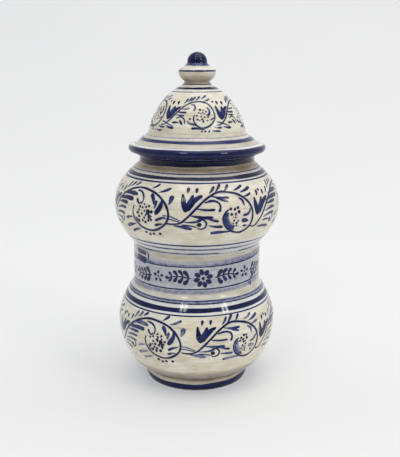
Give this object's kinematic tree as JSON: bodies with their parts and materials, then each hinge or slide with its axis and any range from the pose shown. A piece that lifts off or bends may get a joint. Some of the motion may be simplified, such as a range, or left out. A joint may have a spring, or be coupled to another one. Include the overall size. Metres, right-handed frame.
{
  "type": "lidded apothecary jar",
  "caption": "Lidded pharmacy jar with two rounded bellies, a straight waist, a foot ring and a domed lid with a knob, tin-glazed and painted in blue.",
  "frame": {"origin": "centre of the foot ring's resting face", "axes": "+Z along the axis of turning, from the foot to the knob; the painted label faces -Y"},
  "size_m": [0.1498, 0.1498, 0.3012],
  "materials": {
    "jar_glaze": "glossy tin glaze with painted cobalt",
    "foot_glaze": "glossy cobalt glaze, bare clay where it rests",
    "lid_glaze": "glossy tin glaze with painted cobalt",
    "knob_glaze": "glossy glaze, cream with a cobalt button"
  },
  "bodies": {
    "jar": {"jar_body": "jar_glaze", "foot_ring": "foot_glaze"},
    "lid": {"lid_shell": "lid_glaze", "lid_knob": "knob_glaze"}
  },
  "joints": [
    {"name": "lid_lift", "type": "slide", "parent": "jar", "child": "lid", "axis": [0, 0, 1], "range_m": [0, 0.12]}
  ]
}
